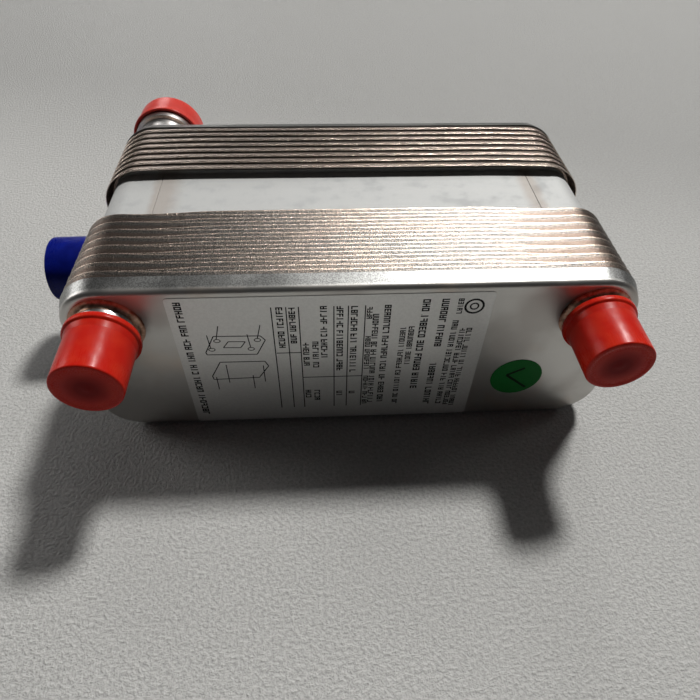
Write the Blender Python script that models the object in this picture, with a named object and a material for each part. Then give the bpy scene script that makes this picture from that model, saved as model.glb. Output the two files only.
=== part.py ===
"""A brazed plate heat exchanger for drying compressed air, in metres, +Z up.

Two packs of nested pressed plates stand on their long edges, one behind the other, with a separator
chamber between them. The front cover faces -Y and carries the two refrigerant ports. The rear cover
carries the two air ports and the mounting studs, and the condensate drain leaves the chamber at -X.
A red or blue cap is pushed on each port and pulls straight off along the port's axis.

Everything is placed in the unit's own frame: X = 0 at the middle of the plates, Y = 0 on the front
cover's face, Z = 0 under the plates. One empty then moves that frame so that the world's origin is at
the bottom centre of the whole unit.
"""

from math import atan2, cos, pi, radians, sin, tan

import bmesh
import bpy
from mathutils import Matrix

MM = 0.001

# plates
PLATE_LENGTH = 206 * MM
PLATE_HEIGHT = 76 * MM
CORNER_RADIUS = 17 * MM
CORNER_STEPS = 4
PLATES_PER_PACK = 16
PLATE_PITCH = 2.35 * MM
PLATE_DEPTH = 6.2 * MM
SHEET = 0.4 * MM
SKIRT_ANGLE = radians(14.5)
PORT_HOLE_RADIUS = 9 * MM
PORT_X = 86 * MM
PORT_HIGH_Z = 59.25 * MM
PORT_LOW_Z = 16.75 * MM

# covers and the plates that close the packs on the chamber's side
COVER_SHEET = 2 * MM
COVER_DEPTH = 6.5 * MM
COVER_BEND = 1.2 * MM
COVER_TO_PLATE = 2.65 * MM
END_PLATE_SHEET = 1.5 * MM
END_PLATE_INSET = 2.6 * MM
TOTAL_DEPTH = 117.9 * MM

# chamber
CHAMBER_INSET = 4 * MM
CHAMBER_WALL = 2 * MM
CHAMBER_SEAM_LEFT = -76.5 * MM
CHAMBER_SEAM_RIGHT = 77 * MM

# ports: radius, bore and reach from the face of the wall that carries them; then either the width of a
# braze ring on that face, or a thinner neck that goes through the wall and ends in a shoulder
REFRIGERANT_PORT = {"radius": 10.5 * MM, "bore": 8.05 * MM, "reach": 21.2 * MM, "braze_ring": 2 * MM}
AIR_PORT = {"radius": 15 * MM, "bore": 12.05 * MM, "reach": 23.7 * MM, "neck": 13.3 * MM, "shoulder": 9.5 * MM}
DRAIN_PORT = {"radius": 13 * MM, "bore": 9.3 * MM, "reach": 24.5 * MM, "neck": 11.3 * MM, "shoulder": 4 * MM}
BRAZE_RING_HEIGHT = 1.3 * MM
DRAIN_Z = 37.5 * MM

# caps: radius at the closed end, at the rim's bead, and where the rim and the closed end lie from the wall
REFRIGERANT_CAP = {"radius": 11.6 * MM, "bead": 13.6 * MM}
AIR_CAP = {"radius": 16.2 * MM, "bead": 16.7 * MM}
DRAIN_CAP = {"radius": 13.9 * MM, "bead": 14.6 * MM}
LEFT_CAP_SPAN = (5.4 * MM, 27.6 * MM)
RIGHT_CAP_SPAN = (3.3 * MM, 24.5 * MM)
AIR_CAP_SPAN = (13 * MM, 27.1 * MM)
DRAIN_CAP_SPAN = (9.7 * MM, 27.7 * MM)
CAP_END_WALL = 1 * MM
CAP_BEAD_LENGTH = 2 * MM
CAP_FIT = 0.15 * MM
CAP_TAPER = 0.25 * MM
ROUND_STEPS = 16

# studs, demister, air transfer tube, label and sticker
STUD_RADIUS = 4 * MM
STUD_LENGTH = 20 * MM
STUD_PLACES = ((-30 * MM, 60 * MM), (-30 * MM, 16 * MM), (62 * MM, 38 * MM))
STUD_CHAMFER = 0.8 * MM
TRANSFER_TUBE = {"radius": 8 * MM, "bore": 7 * MM}
DEMISTER_SIZE = (110 * MM, 30 * MM, 30 * MM)
DEMISTER_CENTRE_Z = 49 * MM
BRACKET_SHEET = 1 * MM
BRACKET_LIP = 8 * MM
LABEL_X = (-64.6 * MM, 47.8 * MM)
LABEL_Z = (2.8 * MM, 71.7 * MM)
LABEL_SHEET = 0.15 * MM
LABEL_CORNER = 1.5 * MM
STICKER_RADIUS = 10.3 * MM
STICKER_X = 65.2 * MM
STICKER_Z = 25.6 * MM
GLUE_GAP = 0.1 * MM
CLEARANCE = 0.3 * MM

# colour, roughness, metallic
FINISHES = {
    "cover_steel": ((0.62, 0.60, 0.58), 0.25, 1.0),
    "plate_steel": ((0.60, 0.47, 0.39), 0.35, 1.0),
    "rear_plate_steel": ((0.50, 0.43, 0.38), 0.35, 1.0),
    "chamber_steel": ((0.55, 0.55, 0.54), 0.50, 1.0),
    "port_steel": ((0.66, 0.64, 0.62), 0.25, 1.0),
    "stud_steel": ((0.55, 0.55, 0.56), 0.35, 1.0),
    "wire_mesh": ((0.45, 0.45, 0.45), 0.60, 1.0),
    "label_film": ((0.72, 0.72, 0.73), 0.40, 0.0),
    "sticker_film": ((0.05, 0.45, 0.16), 0.45, 0.0),
    "red_plastic": ((0.80, 0.05, 0.03), 0.25, 0.0),
    "blue_plastic": ((0.02, 0.07, 0.45), 0.30, 0.0),
}


def clear_scene():
    for obj in list(bpy.data.objects):
        bpy.data.objects.remove(obj)


def make_finish(name):
    colour, roughness, metallic = FINISHES[name]
    material = bpy.data.materials.new(name)
    material.use_nodes = True
    shader = material.node_tree.nodes["Principled BSDF"]
    shader.inputs["Base Color"].default_value = (*colour, 1)
    shader.inputs["Roughness"].default_value = roughness
    shader.inputs["Metallic"].default_value = metallic
    return material


def place(name, mesh, finish, location=(0, 0, 0), rotation=(0, 0, 0)):
    """Put a mesh in the unit's frame as a node of its own, with a finish that only this node uses."""
    obj = bpy.data.objects.new(name, mesh)
    bpy.context.collection.objects.link(obj)
    obj.parent = unit_frame
    obj.location = location
    obj.rotation_euler = rotation
    if not mesh.materials:
        mesh.materials.append(None)
    obj.material_slots[0].link = "OBJECT"
    obj.material_slots[0].material = finishes[finish]
    return obj


def finish_mesh(bm, name, smooth=True):
    bmesh.ops.recalc_face_normals(bm, faces=bm.faces[:])
    mesh = bpy.data.meshes.new(name)
    bm.to_mesh(mesh)
    bm.free()
    if smooth:
        mesh.shade_smooth()
        mesh.set_sharp_from_angle(angle=radians(32))
    return mesh


# outlines, as lists of (x, z)


def plate_outline(inset):
    """The plate's rounded rectangle, moved inwards by inset. Every inset has the same number of points."""
    half = PLATE_LENGTH / 2 - CORNER_RADIUS
    radius = CORNER_RADIUS - inset
    high = PLATE_HEIGHT - CORNER_RADIUS
    corners = ((half, high), (-half, high), (-half, CORNER_RADIUS), (half, CORNER_RADIUS))
    points = []
    for quarter, (x, z) in enumerate(corners):
        for step in range(CORNER_STEPS + 1):
            angle = (quarter + step / CORNER_STEPS) * pi / 2
            points.append((x + radius * cos(angle), z + radius * sin(angle)))
    return points


def circle_outline(x, z, radius, steps=ROUND_STEPS):
    return [(x + radius * cos(2 * pi * i / steps), z + radius * sin(2 * pi * i / steps)) for i in range(steps)]


def add_ring(bm, outline, y):
    """A ring of points at depth y."""
    return [bm.verts.new((x, y, z)) for x, z in outline]


def join_rings(bm, ring, other):
    """A wall of four-sided faces between two rings of as many points."""
    for i in range(len(ring)):
        bm.faces.new((ring[i - 1], ring[i], other[i], other[i - 1]))


def fill_between(bm, rings):
    """A flat face inside the first ring, open inside each of the others."""
    edges = [bm.edges.get((ring[i - 1], ring[i])) for ring in rings for i in range(len(ring))]
    bmesh.ops.triangle_fill(bm, edges=edges, use_beauty=True, use_dissolve=False)


def pressed_sheet(name, profile, holes=()):
    """A sheet pressed from the plate outline.

    profile is a list of (inset, depth): it starts at the rim of the flat base's outer face, runs over
    the outside to the skirt's end and comes back inside to the base's inner face. Each hole is an
    outline through the base.
    """
    bm = bmesh.new()
    rings = [add_ring(bm, plate_outline(inset), depth) for inset, depth in profile]
    for ring, following in zip(rings, rings[1:]):
        join_rings(bm, ring, following)
    outer_rings = [rings[0]]
    inner_rings = [rings[-1]]
    for hole in holes:
        outer_rings.append(add_ring(bm, hole, profile[0][1]))
        inner_rings.append(add_ring(bm, hole, profile[-1][1]))
        join_rings(bm, outer_rings[-1], inner_rings[-1])
    fill_between(bm, outer_rings)
    fill_between(bm, inner_rings)
    return finish_mesh(bm, name)


def channel_plate_mesh():
    """The thin plate that both packs repeat: a flat base with four port holes and a flared skirt."""
    wall = SHEET / cos(SKIRT_ANGLE)
    profile = [
        (PLATE_DEPTH * tan(SKIRT_ANGLE), 0),
        (0, PLATE_DEPTH),
        (wall, PLATE_DEPTH),
        (wall + (PLATE_DEPTH - SHEET) * tan(SKIRT_ANGLE), SHEET),
    ]
    holes = [
        circle_outline(x, z, PORT_HOLE_RADIUS, ROUND_STEPS // 2)
        for x in (-PORT_X, PORT_X)
        for z in (PORT_LOW_Z, PORT_HIGH_Z)
    ]
    return pressed_sheet("channel_plate", profile, holes)


def cover_mesh(name, holes):
    """An outer cover: a thick flat face with a rounded bend, and a thin skirt over the first plate."""
    slope = tan(SKIRT_ANGLE)
    wall = SHEET / cos(SKIRT_ANGLE)
    bend_inset = (COVER_DEPTH - COVER_BEND) * slope
    bend_angle = pi / 2 - SKIRT_ANGLE
    bend_radius = COVER_BEND / (1 - sin(SKIRT_ANGLE))
    bend_steps = 3
    profile = []
    for step in range(bend_steps + 1):
        turned = SKIRT_ANGLE + bend_angle * (1 - step / bend_steps)
        across = bend_radius * (cos(SKIRT_ANGLE) - cos(turned))
        profile.append((bend_inset + across, bend_radius * (1 - sin(turned))))
    profile += [
        (0, COVER_DEPTH),
        (wall, COVER_DEPTH),
        (wall + (COVER_DEPTH - COVER_SHEET) * slope, COVER_SHEET),
    ]
    return pressed_sheet(name, profile, holes)


def end_plate_mesh(name, holes):
    profile = [(END_PLATE_INSET, 0), (END_PLATE_INSET, END_PLATE_SHEET)]
    return pressed_sheet(name, profile, holes)


# round pieces, turned about their own Z axis, which points out of the unit


def turned_mesh(name, profile, closed=True):
    """Spin a profile of (radius, height) points. An open profile starts and ends on the axis."""
    bm = bmesh.new()
    verts = [bm.verts.new((radius, 0, height)) for radius, height in profile]
    pairs = list(zip(verts, verts[1:]))
    if closed:
        pairs.append((verts[-1], verts[0]))
    edges = [bm.edges.new(pair) for pair in pairs]
    bmesh.ops.spin(bm, geom=verts + edges, cent=(0, 0, 0), axis=(0, 0, 1), angle=2 * pi, steps=ROUND_STEPS)
    bmesh.ops.remove_doubles(bm, verts=bm.verts[:], dist=0.001 * MM)
    bmesh.ops.dissolve_degenerate(bm, edges=bm.edges[:], dist=0.001 * MM)
    return finish_mesh(bm, name)


def root_radius(port):
    """The radius of the part of a port that goes through its wall."""
    return port.get("neck", port["radius"])


def port_mesh(name, port, wall):
    """A tube through its wall, whose face is at height 0."""
    radius = port["radius"]
    bore = port["bore"]
    reach = port["reach"]
    edge = 0.5 * MM
    profile = [(bore, -wall), (root_radius(port), -wall)]
    if "braze_ring" in port:
        ring_width = port["braze_ring"]
        profile += [
            (radius, CLEARANCE),
            (radius + ring_width, CLEARANCE),
            (radius + 0.35 * ring_width, CLEARANCE + 0.45 * BRAZE_RING_HEIGHT),
            (radius, CLEARANCE + BRAZE_RING_HEIGHT),
        ]
    else:
        profile += [
            (port["neck"], port["shoulder"]),
            (radius - edge, port["shoulder"]),
            (radius, port["shoulder"] + edge),
        ]
    profile += [(radius, reach - edge), (radius - edge, reach), (bore + edge, reach), (bore, reach - edge)]
    return turned_mesh(name, profile)


def cap_mesh(name, cap, port, span):
    """A push-on cap. Height 0 is the wall's face; the rim is at span[0] and the closed end at span[1]."""
    rim, end = span
    hollow = port["radius"] + CAP_FIT
    bead_top = rim + CAP_BEAD_LENGTH
    edge = 0.7 * MM
    shoulder = (cap["radius"] + cap["bead"]) / 2
    profile = [
        (0, end - CAP_END_WALL),
        (hollow, end - CAP_END_WALL),
        (hollow + CAP_TAPER, rim + 0.4 * MM),
        (hollow + CAP_TAPER + 0.3 * MM, rim),
        (cap["bead"] - 0.4 * MM, rim),
        (cap["bead"], rim + 0.5 * CAP_BEAD_LENGTH),
        (cap["bead"] - 0.4 * MM, bead_top),
        (shoulder, bead_top + 0.3 * MM),
        (cap["radius"], end - edge),
        (cap["radius"] - edge, end),
        (0, end),
    ]
    return turned_mesh(name, profile, closed=False)


def stud_mesh():
    root = COVER_SHEET
    profile = [
        (0, -root),
        (STUD_RADIUS, -root),
        (STUD_RADIUS, STUD_LENGTH - STUD_CHAMFER),
        (STUD_RADIUS - STUD_CHAMFER, STUD_LENGTH),
        (0, STUD_LENGTH),
    ]
    return turned_mesh("mounting_stud", profile, closed=False)


# straight-sided pieces


def strip_mesh(name, outer, inner, y_low, y_high):
    """A bent strip that follows an open outline, from the outer line of points to the inner one."""
    bm = bmesh.new()
    section = [bm.verts.new((x, y_low, z)) for x, z in outer + inner[::-1]]
    face = bm.faces.new(section)
    extruded = bmesh.ops.extrude_face_region(bm, geom=[face])
    moved = [item for item in extruded["geom"] if isinstance(item, bmesh.types.BMVert)]
    bmesh.ops.translate(bm, vec=(0, y_high - y_low, 0), verts=moved)
    bmesh.ops.triangulate(bm, faces=[item for item in bm.faces if len(item.verts) > 4])
    return finish_mesh(bm, name)


def box_mesh(name, low, high):
    bm = bmesh.new()
    size = [high[i] - low[i] for i in range(3)]
    centre = [(high[i] + low[i]) / 2 for i in range(3)]
    matrix = Matrix.Translation(centre) @ Matrix.Diagonal((*size, 1))
    bmesh.ops.create_cube(bm, size=1, matrix=matrix)
    return finish_mesh(bm, name, smooth=False)


def film_mesh(name, outline):
    """A thin printed film on the front cover's face."""
    bm = bmesh.new()
    verts = [bm.verts.new((x, -GLUE_GAP - LABEL_SHEET, z)) for x, z in outline]
    face = bm.faces.new(verts)
    extruded = bmesh.ops.extrude_face_region(bm, geom=[face])
    moved = [item for item in extruded["geom"] if isinstance(item, bmesh.types.BMVert)]
    bmesh.ops.translate(bm, vec=(0, LABEL_SHEET, 0), verts=moved)
    return finish_mesh(bm, name, smooth=False)


# the assembly


def build_pack(side, location, turn, finish):
    """Sixteen plates, counted from the cover inwards; turn is 0 for the front pack and pi for the rear."""
    direction = 1 if turn == 0 else -1
    for count in range(PLATES_PER_PACK):
        depth = COVER_TO_PLATE + count * PLATE_PITCH
        name = f"{side}_plate_{count + 1:02d}"
        place(name, channel_plate, finish, (0, location + direction * depth, 0), (0, 0, turn))


def build_covers():
    refrigerant_hole = root_radius(REFRIGERANT_PORT) + CLEARANCE
    front_holes = [circle_outline(x, PORT_HIGH_Z, refrigerant_hole) for x in (-PORT_X, PORT_X)]
    front_mesh = cover_mesh("front_cover_plate", front_holes)
    place("front_cover_plate", front_mesh, "cover_steel")
    air_hole = root_radius(AIR_PORT) + CLEARANCE
    rear_holes = [circle_outline(PORT_X, z, air_hole) for z in (PORT_LOW_Z, PORT_HIGH_Z)]
    rear_holes += [circle_outline(-x, z, STUD_RADIUS + CLEARANCE) for x, z in STUD_PLACES]
    rear_mesh = cover_mesh("rear_cover_plate", rear_holes)
    place("rear_cover_plate", rear_mesh, "cover_steel", (0, TOTAL_DEPTH, 0), (0, 0, pi))


def build_chamber():
    """The band between the packs, the plates that close the packs on it, and what is inside it."""
    last_plate = COVER_TO_PLATE + (PLATES_PER_PACK - 1) * PLATE_PITCH
    end_plate_y = last_plate + SHEET + CLEARANCE
    band_y = end_plate_y + END_PLATE_SHEET + CLEARANCE
    band_end_y = TOTAL_DEPTH - band_y
    tube_hole = TRANSFER_TUBE["radius"] + CLEARANCE

    # air leaves the front pack low on the left and goes back into the rear pack high on the right
    front_holes = [
        circle_outline(PORT_X, PORT_LOW_Z, tube_hole),
        circle_outline(-PORT_X, PORT_LOW_Z, PORT_HOLE_RADIUS),
    ]
    rear_holes = [
        circle_outline(-PORT_X, PORT_LOW_Z, tube_hole),
        circle_outline(-PORT_X, PORT_HIGH_Z, PORT_HOLE_RADIUS),
    ]
    front_mesh = end_plate_mesh("front_inner_end_plate", front_holes)
    rear_mesh = end_plate_mesh("rear_inner_end_plate", rear_holes)
    place("front_inner_end_plate", front_mesh, "chamber_steel", (0, end_plate_y, 0))
    place("rear_inner_end_plate", rear_mesh, "chamber_steel", (0, TOTAL_DEPTH - end_plate_y, 0), (0, 0, pi))

    tube_reach = end_plate_y + CLEARANCE
    tube_length = TOTAL_DEPTH - 2 * tube_reach
    tube_profile = [
        (TRANSFER_TUBE["bore"], 0),
        (TRANSFER_TUBE["radius"], 0),
        (TRANSFER_TUBE["radius"], tube_length),
        (TRANSFER_TUBE["bore"], tube_length),
    ]
    tube = turned_mesh("air_transfer_tube", tube_profile)
    place("air_transfer_tube", tube, "port_steel", (PORT_X, tube_reach, PORT_LOW_Z), (-pi / 2, 0, 0))

    low_z = CHAMBER_INSET
    high_z = PLATE_HEIGHT - CHAMBER_INSET
    seam = CLEARANCE / 2
    left_x = CHAMBER_SEAM_LEFT + seam
    right_x = CHAMBER_SEAM_RIGHT - seam
    top = box_mesh("chamber_top_plate", (left_x, band_y, high_z - CHAMBER_WALL), (right_x, band_end_y, high_z))
    bottom = box_mesh("chamber_bottom_plate", (left_x, band_y, low_z), (right_x, band_end_y, low_z + CHAMBER_WALL))
    place("chamber_top_plate", top, "chamber_steel")
    place("chamber_bottom_plate", bottom, "chamber_steel")

    def bent_end(sign, seam_x):
        """The part of the band's outline beyond a seam, top to bottom, for the outer or inner face."""
        lines = []
        for inset in (CHAMBER_INSET, CHAMBER_INSET + CHAMBER_WALL):
            line = [point for point in plate_outline(inset) if point[0] * sign > 0]
            line.sort(key=lambda point: -atan2(point[1] - PLATE_HEIGHT / 2, point[0] * sign))
            top_z = PLATE_HEIGHT - inset
            lines.append([(seam_x, top_z)] + line + [(seam_x, inset)])
        return lines

    left_outer, left_inner = bent_end(-1, CHAMBER_SEAM_LEFT - seam)
    right_outer, right_inner = bent_end(1, CHAMBER_SEAM_RIGHT + seam)
    left_mesh = strip_mesh("chamber_left_end", left_outer, left_inner, band_y, band_end_y)
    right_mesh = strip_mesh("chamber_right_end", right_outer, right_inner, band_y, band_end_y)
    left_end = place("chamber_left_end", left_mesh, "chamber_steel")
    place("chamber_right_end", right_mesh, "chamber_steel")
    cut_drain_hole(left_end)

    build_demister()


def cut_drain_hole(left_end):
    outer_x = PLATE_LENGTH / 2 - CHAMBER_INSET
    drill_length = 12 * MM
    bm = bmesh.new()
    bmesh.ops.create_cone(
        bm,
        cap_ends=True,
        segments=ROUND_STEPS,
        radius1=root_radius(DRAIN_PORT) + CLEARANCE,
        radius2=root_radius(DRAIN_PORT) + CLEARANCE,
        depth=drill_length,
    )
    drill = place("drain_hole_drill", finish_mesh(bm, "drain_hole_drill"), "chamber_steel")
    drill.location = (-outer_x, TOTAL_DEPTH / 2, DRAIN_Z)
    drill.rotation_euler = (0, -pi / 2, 0)
    drill.hide_render = True
    drill.display_type = "WIRE"
    cut = left_end.modifiers.new("drain hole", "BOOLEAN")
    cut.operation = "DIFFERENCE"
    cut.object = drill


def build_demister():
    """A knitted wire pad that strips water from the air, held on a folded shelf."""
    length, width, height = DEMISTER_SIZE
    middle_y = TOTAL_DEPTH / 2
    pad_low = DEMISTER_CENTRE_Z - height / 2
    pad_high = DEMISTER_CENTRE_Z + height / 2
    pad = box_mesh(
        "demister_pad",
        (-length / 2, middle_y - width / 2, pad_low),
        (length / 2, middle_y + width / 2, pad_high),
    )
    place("demister_pad", pad, "wire_mesh")
    reach = length / 2 + CLEARANCE
    shelf_top = pad_low - CLEARANCE
    lip_top = shelf_top + BRACKET_LIP
    outer = [
        (-reach - BRACKET_SHEET, lip_top),
        (-reach - BRACKET_SHEET, shelf_top - BRACKET_SHEET),
        (reach + BRACKET_SHEET, shelf_top - BRACKET_SHEET),
        (reach + BRACKET_SHEET, lip_top),
    ]
    inner = [(-reach, lip_top), (-reach, shelf_top), (reach, shelf_top), (reach, lip_top)]
    bracket = strip_mesh("demister_bracket", outer, inner, middle_y - width / 2, middle_y + width / 2)
    place("demister_bracket", bracket, "chamber_steel")


def build_port(names, port, cap, span, wall, seat, turn, finishes_used):
    """A port and the cap on it. Both have their origin on the port's axis, at the wall's face."""
    port_name, cap_name = names
    place(port_name, port_mesh(port_name, port, wall), finishes_used[0], seat, turn)
    place(cap_name, cap_mesh(cap_name, cap, port, span), finishes_used[1], seat, turn)


def build_ports():
    out_front = (pi / 2, 0, 0)
    out_rear = (-pi / 2, 0, 0)
    out_left = (0, -pi / 2, 0)
    red = ("port_steel", "red_plastic")
    blue = ("port_steel", "blue_plastic")
    front_ports = (("left", -PORT_X, LEFT_CAP_SPAN), ("right", PORT_X, RIGHT_CAP_SPAN))
    for side, x, span in front_ports:
        names = (f"refrigerant_port_{side}", f"red_cap_front_{side}")
        seat = (x, 0, PORT_HIGH_Z)
        build_port(names, REFRIGERANT_PORT, REFRIGERANT_CAP, span, COVER_SHEET, seat, out_front, red)
    for level, z in (("upper", PORT_HIGH_Z), ("lower", PORT_LOW_Z)):
        names = (f"air_port_{level}", f"red_cap_rear_{level}")
        seat = (-PORT_X, TOTAL_DEPTH, z)
        build_port(names, AIR_PORT, AIR_CAP, AIR_CAP_SPAN, COVER_SHEET, seat, out_rear, red)
    names = ("drain_port", "blue_cap_drain")
    seat = (CHAMBER_INSET - PLATE_LENGTH / 2, TOTAL_DEPTH / 2, DRAIN_Z)
    build_port(names, DRAIN_PORT, DRAIN_CAP, DRAIN_CAP_SPAN, CHAMBER_WALL, seat, out_left, blue)


def build_studs():
    stud = stud_mesh()
    for count, (x, z) in enumerate(STUD_PLACES):
        place(f"mounting_stud_{count + 1}", stud, "stud_steel", (x, TOTAL_DEPTH, z), (-pi / 2, 0, 0))


def build_labels():
    low_x, high_x = LABEL_X
    low_z, high_z = LABEL_Z
    r = LABEL_CORNER
    corners = ((high_x - r, high_z - r), (low_x + r, high_z - r), (low_x + r, low_z + r), (high_x - r, low_z + r))
    outline = []
    for quarter, (x, z) in enumerate(corners):
        for step in range(3):
            angle = (quarter + step / 2) * pi / 2
            outline.append((x + r * cos(angle), z + r * sin(angle)))
    place("name_label", film_mesh("name_label", outline), "label_film")
    disc = circle_outline(STICKER_X, STICKER_Z, STICKER_RADIUS, 2 * ROUND_STEPS)
    place("inspection_sticker", film_mesh("inspection_sticker", disc), "sticker_film")


clear_scene()
finishes = {finish_name: make_finish(finish_name) for finish_name in FINISHES}

# the unit's frame: X runs from the blue cap's end to the plates' right end, Y from cap end to cap end
left_reach = PLATE_LENGTH / 2 - CHAMBER_INSET + DRAIN_CAP_SPAN[1]
unit_frame = bpy.data.objects.new("unit_frame", None)
bpy.context.collection.objects.link(unit_frame)
unit_frame.location = (
    (left_reach - PLATE_LENGTH / 2) / 2,
    (LEFT_CAP_SPAN[1] - TOTAL_DEPTH - AIR_CAP_SPAN[1]) / 2,
    0,
)

channel_plate = channel_plate_mesh()
build_covers()
build_pack("front", 0, 0, "plate_steel")
build_pack("rear", TOTAL_DEPTH, pi, "rear_plate_steel")
build_chamber()
build_ports()
build_studs()
build_labels()
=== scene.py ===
# The looks of a brazed plate heat exchanger with a separator chamber between its two packs.
# Sizes in the dictionaries are millimetres in the unit's own frame: x = 0 at the middle of the plates,
# y = 0 on the front cover's face, z = 0 under the plates.
from math import atan2, cos, hypot, pi, radians, sin, tan
import random

import bpy
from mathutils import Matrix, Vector, noise


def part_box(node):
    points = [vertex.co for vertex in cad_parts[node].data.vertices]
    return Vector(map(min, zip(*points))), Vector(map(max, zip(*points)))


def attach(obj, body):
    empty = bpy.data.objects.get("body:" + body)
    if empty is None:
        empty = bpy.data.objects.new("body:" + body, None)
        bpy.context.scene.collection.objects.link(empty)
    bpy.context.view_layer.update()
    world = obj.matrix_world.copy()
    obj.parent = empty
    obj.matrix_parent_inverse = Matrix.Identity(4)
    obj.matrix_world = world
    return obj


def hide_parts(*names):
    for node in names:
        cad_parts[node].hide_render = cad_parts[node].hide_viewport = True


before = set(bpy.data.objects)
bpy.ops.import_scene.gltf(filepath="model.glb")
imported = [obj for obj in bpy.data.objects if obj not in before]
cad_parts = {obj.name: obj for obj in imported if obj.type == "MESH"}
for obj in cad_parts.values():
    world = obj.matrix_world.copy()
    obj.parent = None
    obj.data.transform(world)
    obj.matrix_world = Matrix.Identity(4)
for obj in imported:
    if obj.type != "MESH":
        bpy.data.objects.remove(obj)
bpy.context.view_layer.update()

mm = 0.001
coverLow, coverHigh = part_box("front_cover_plate")
middleX = (coverLow.x + coverHigh.x) / 2
faceY = coverLow.y
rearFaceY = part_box("rear_cover_plate")[1].y
plateTop = coverHigh.z
depthAll = (rearFaceY - faceY) / mm
portX = 86  # every port is this far from the middle of the plates, at one of two heights
portLowZ = 16.75
portHighZ = 59.25


def unit(x, y, z):
    return Vector((middleX + x * mm, faceY + y * mm, z * mm))


def smooth(value, low, high):
    t = max(0.0, min(1.0, (value - low) / (high - low)))
    return t * t * (3 - 2 * t)


# picking and shaping

def pick(*objs):
    if bpy.context.object and bpy.context.object.mode != "OBJECT":
        bpy.ops.object.mode_set(mode="OBJECT")
    bpy.ops.object.select_all(action="DESELECT")
    for obj in objs:
        obj.select_set(True)
    if objs:
        bpy.context.view_layer.objects.active = objs[0]


def settle(obj):  # its place goes into its mesh
    pick(obj)
    bpy.ops.object.transform_apply(location=True, rotation=True, scale=True)


def editing(obj, kind):  # into edit mode with nothing picked
    pick(obj)
    bpy.ops.object.mode_set(mode="EDIT")
    bpy.ops.mesh.select_mode(type=kind)
    bpy.ops.mesh.select_all(action="DESELECT")


def choose(obj, kind, test):  # into edit mode with the parts that pass the test picked
    editing(obj, kind)
    bpy.ops.object.mode_set(mode="OBJECT")
    mesh = obj.data
    parts = {"VERT": mesh.vertices, "EDGE": mesh.edges, "FACE": mesh.polygons}[kind]
    for part in parts:
        part.select = test(part)
    bpy.ops.object.mode_set(mode="EDIT")


def ends(obj, edge):
    return [obj.data.vertices[i].co for i in edge.vertices]


def lengthOf(obj, edge):  # in mm
    start, end = ends(obj, edge)
    return (start - end).length / mm


def apply(obj, name, kind, **settings):
    pick(obj)
    modifier = obj.modifiers.new(name, kind)
    for key, value in settings.items():
        setattr(modifier, key, value)
    bpy.ops.object.modifier_apply(modifier=name)


def cut(obj, *cutters, solver="MANIFOLD"):
    for cutter in cutters:
        apply(obj, "cut", "BOOLEAN", operation="DIFFERENCE", object=cutter, solver=solver)
        bpy.data.objects.remove(cutter)


def shadeByAngle(obj, degrees=35):
    pick(obj)
    bpy.ops.object.shade_smooth_by_angle(angle=radians(degrees), keep_sharp_edges=False)


def firmEdges(obj, degrees=35):  # small bevels stay small in the shading
    shadeByAngle(obj, degrees)
    apply(obj, "firm", "WEIGHTED_NORMAL", keep_sharp=True, weight=100)


def copyOf(obj, name):
    made = obj.copy()
    made.data = obj.data.copy()
    made.name = name
    bpy.context.collection.objects.link(made)
    return made


def dress(obj, name, finish, body="root", nodes=()):
    obj.name = name
    obj.data.name = name
    obj.data.materials.clear()
    obj.data.materials.append(finish)
    if nodes:
        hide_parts(*nodes)
    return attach(obj, body)


# finishes

class Wire:  # one socket, for sums written as expressions
    def __init__(self, finish, socket):
        self.finish = finish
        self.socket = socket

    def sum(self, operation, first, second):
        return self.finish.node("Math", {"operation": operation}, {0: first, 1: second})

    def __add__(self, other):
        return self.sum("ADD", self, other)

    def __radd__(self, other):
        return self.sum("ADD", other, self)

    def __sub__(self, other):
        return self.sum("SUBTRACT", self, other)

    def __rsub__(self, other):
        return self.sum("SUBTRACT", other, self)

    def __mul__(self, other):
        return self.sum("MULTIPLY", self, other)

    def __rmul__(self, other):
        return self.sum("MULTIPLY", other, self)


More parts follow.
